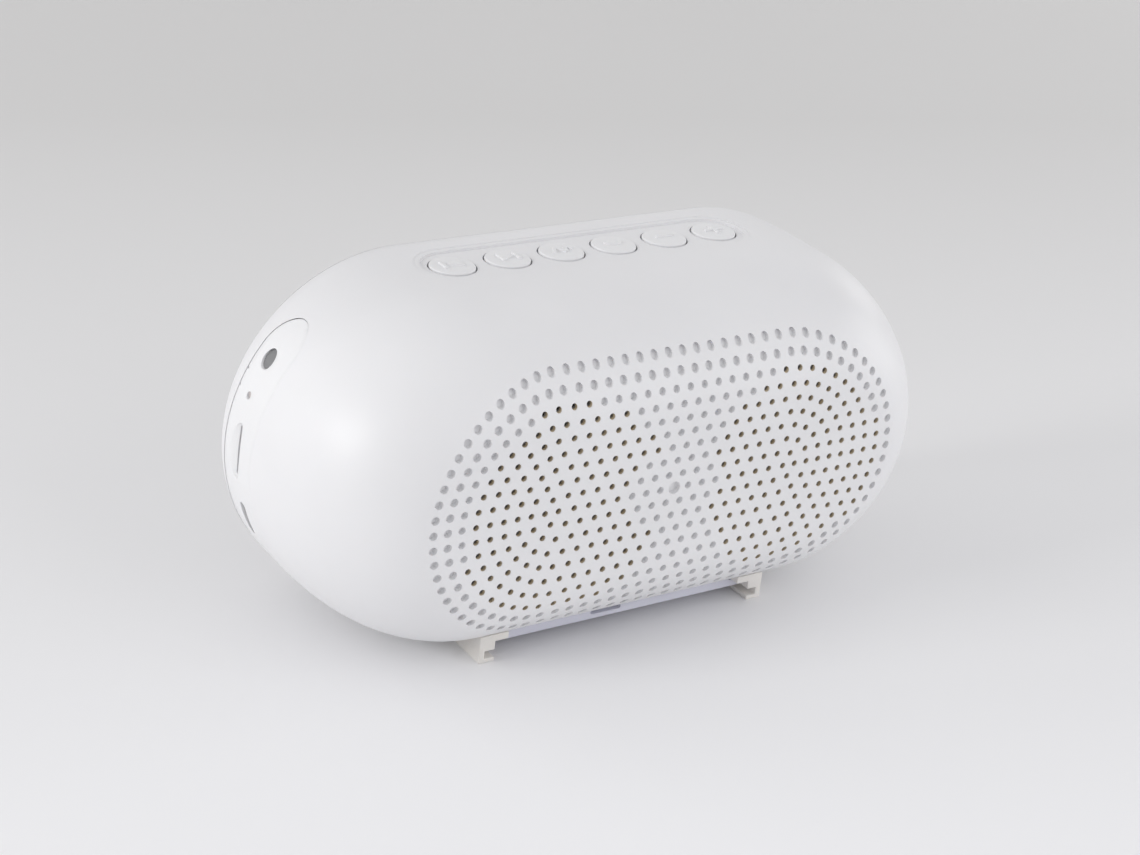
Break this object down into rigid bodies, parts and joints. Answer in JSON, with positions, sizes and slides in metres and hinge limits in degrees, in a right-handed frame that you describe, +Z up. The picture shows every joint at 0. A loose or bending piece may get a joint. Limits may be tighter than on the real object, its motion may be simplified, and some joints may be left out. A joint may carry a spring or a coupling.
{
  "type": "portable speaker",
  "caption": "Pebble-shaped two-driver portable speaker with a perforated front, top push buttons, an end port panel and a slide-rail base.",
  "frame": {"origin": "on the resting surface, under the middle of the speaker's length and depth", "axes": "+X along the length to the right as seen from the front, +Y from the grille to the back, +Z up"},
  "size_m": [0.1485, 0.058, 0.0742],
  "materials": {
    "white_shell": "smooth satin-gloss moulded ABS",
    "white_trim": "smooth satin moulded ABS",
    "cream_plastic": "plain moulded plastic, slightly warm white",
    "lilac_plastic": "plain moulded plastic, pale lilac grey",
    "grey_plastic": "grey moulded plastic",
    "dark_plastic": "black moulded plastic",
    "black_rubber": "soft black rubber",
    "green_board": "green solder mask",
    "socket_metal": "nickel-plated sheet",
    "screw_steel": "plated steel",
    "paper_cone": "coated paper",
    "brown_cloth": "open-weave acoustic cloth",
    "ferrite": "sintered ferrite with plated yoke",
    "battery_film": "heat-shrink film",
    "clear_pipe": "clear moulded light guide"
  },
  "bodies": {
    "housing": {"front_shell": "white_shell", "rear_cover": "white_shell", "rear_seal": "black_rubber", "port_panel": "white_trim", "aux_jack": "grey_plastic", "card_socket": "socket_metal", "usb_socket": "socket_metal", "previous_switch": "dark_plastic", "next_switch": "dark_plastic", "mode_switch": "dark_plastic", "call_switch": "dark_plastic", "volume_down_switch": "dark_plastic", "volume_up_switch": "dark_plastic", "key_board": "green_board", "left_dust_cloth": "brown_cloth", "left_driver_gasket": "black_rubber", "left_driver_basket": "dark_plastic", "left_surround": "black_rubber", "left_magnet": "ferrite", "left_rail": "cream_plastic", "right_dust_cloth": "brown_cloth", "right_driver_gasket": "black_rubber", "right_driver_basket": "dark_plastic", "right_surround": "black_rubber", "right_magnet": "ferrite", "right_rail": "cream_plastic", "main_board": "green_board", "wireless_module": "dark_plastic", "amplifier_chip": "dark_plastic", "battery": "battery_film", "battery_pad": "black_rubber", "base_plate": "lilac_plastic", "light_pipe": "clear_pipe", "status_led": "clear_pipe", "microphone": "socket_metal", "cover_screw_1": "screw_steel", "cover_screw_2": "screw_steel", "cover_screw_3": "screw_steel", "cover_screw_4": "screw_steel", "board_screw_1": "screw_steel", "board_screw_2": "screw_steel", "base_screw_1": "screw_steel", "base_screw_2": "screw_steel"},
    "previous_key": {"previous_button": "white_trim"},
    "next_key": {"next_button": "white_trim"},
    "mode_key": {"mode_button": "white_trim"},
    "call_key": {"call_button": "white_trim"},
    "volume_down_key": {"volume_down_button": "white_trim"},
    "volume_up_key": {"volume_up_button": "white_trim"},
    "left_diaphragm": {"left_cone": "paper_cone"},
    "right_diaphragm": {"right_cone": "paper_cone"}
  },
  "joints": [
    {"name": "previous_press", "type": "slide", "parent": "housing", "child": "previous_key", "axis": [0, 0, -1], "range_m": [0, 0.0006], "stiffness_N_per_m": 800},
    {"name": "next_press", "type": "slide", "parent": "housing", "child": "next_key", "axis": [0, 0, -1], "range_m": [0, 0.0006], "stiffness_N_per_m": 800},
    {"name": "mode_press", "type": "slide", "parent": "housing", "child": "mode_key", "axis": [0, 0, -1], "range_m": [0, 0.0006], "stiffness_N_per_m": 800},
    {"name": "call_press", "type": "slide", "parent": "housing", "child": "call_key", "axis": [0, 0, -1], "range_m": [0, 0.0006], "stiffness_N_per_m": 800},
    {"name": "volume_down_press", "type": "slide", "parent": "housing", "child": "volume_down_key", "axis": [0, 0, -1], "range_m": [0, 0.0006], "stiffness_N_per_m": 800},
    {"name": "volume_up_press", "type": "slide", "parent": "housing", "child": "volume_up_key", "axis": [0, 0, -1], "range_m": [0, 0.0006], "stiffness_N_per_m": 800},
    {"name": "left_cone_travel", "type": "slide", "parent": "housing", "child": "left_diaphragm", "axis": [0, -1, 0], "range_m": [-0.001, 0.001], "stiffness_N_per_m": 900},
    {"name": "right_cone_travel", "type": "slide", "parent": "housing", "child": "right_diaphragm", "axis": [0, -1, 0], "range_m": [-0.001, 0.001], "stiffness_N_per_m": 900}
  ]
}
